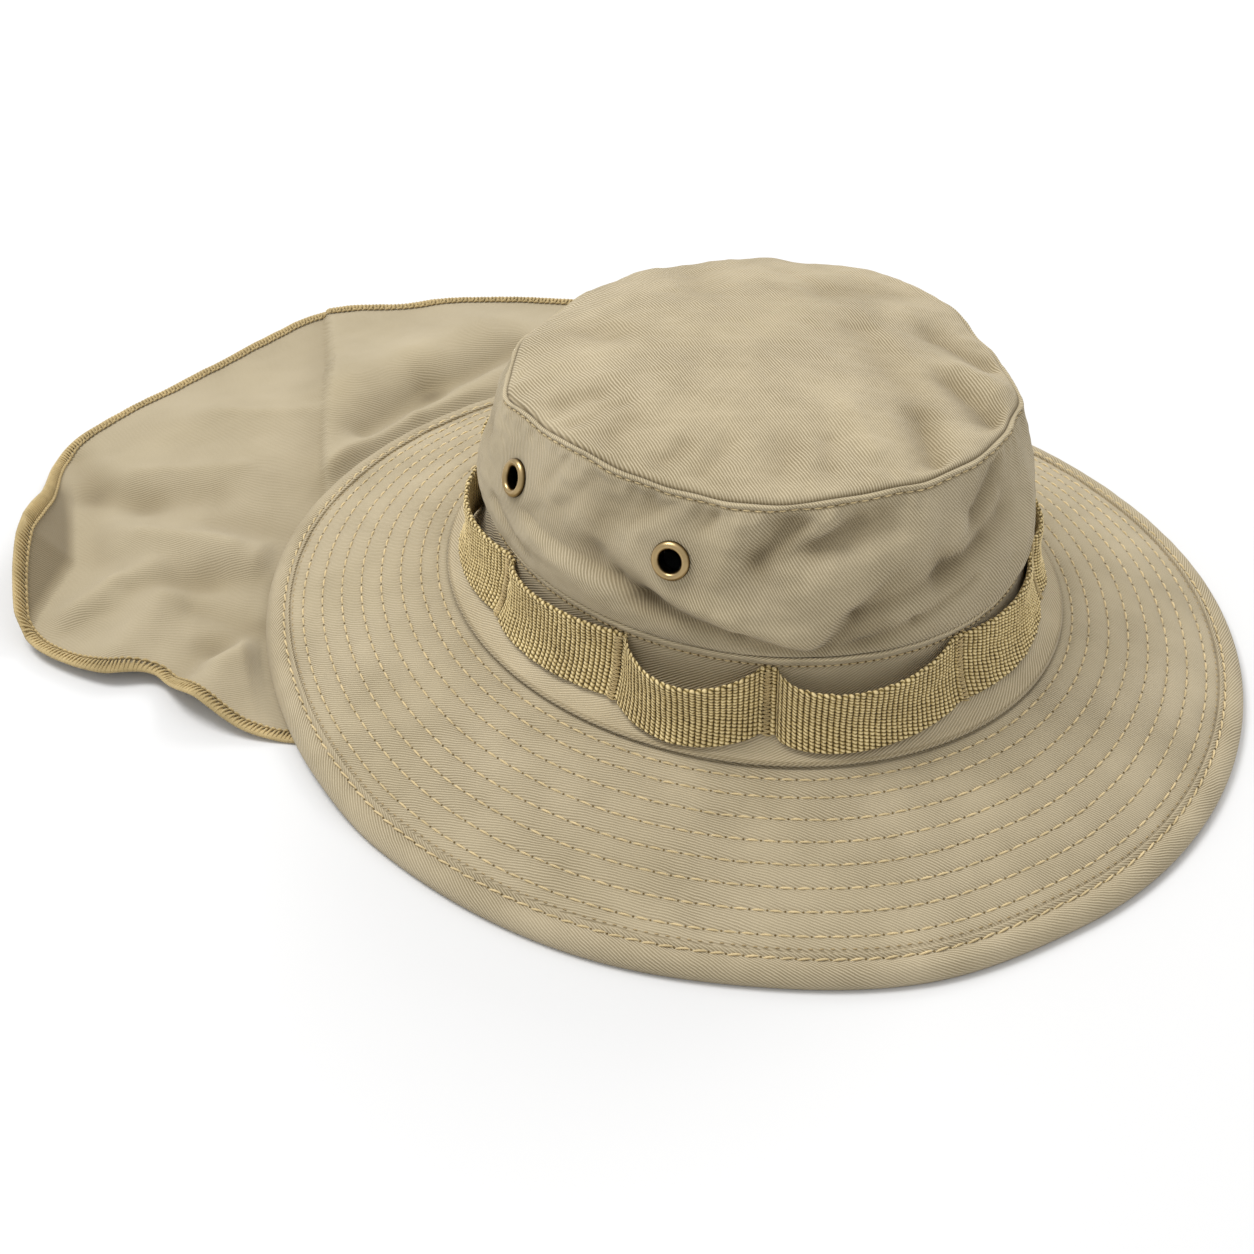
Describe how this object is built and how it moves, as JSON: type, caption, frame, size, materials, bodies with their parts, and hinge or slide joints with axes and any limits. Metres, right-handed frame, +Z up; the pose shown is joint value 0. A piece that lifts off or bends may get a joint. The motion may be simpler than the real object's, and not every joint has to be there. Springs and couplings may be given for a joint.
{
  "type": "sun hat with neck flap",
  "caption": "Soft sun hat with a wide stitched brim, webbing loops round the crown, vent eyelets and a neck flap laid flat behind it.",
  "frame": {"origin": "on the table, below the middle of the box round the hat and its spread flap", "axes": "+Z up, -Y towards the front of the hat, +Y towards the flap, -X towards the wearer's right"},
  "size_m": [0.332, 0.4388, 0.1206],
  "materials": {
    "cloth": "matt cotton twill",
    "strap": "matt coarse webbing",
    "thread": "matt thread",
    "eyelet_metal": "antiqued"
  },
  "bodies": {
    "root": {"brim": "cloth", "brim_binding": "cloth", "crown_band": "cloth", "crown_side": "cloth", "crown_tip": "cloth", "webbing": "strap", "eyelet_right_front": "eyelet_metal", "eyelet_right_rear": "eyelet_metal", "eyelet_left_front": "eyelet_metal", "eyelet_left_rear": "eyelet_metal", "flap": "cloth", "flap_hem": "thread"}
  },
  "joints": []
}
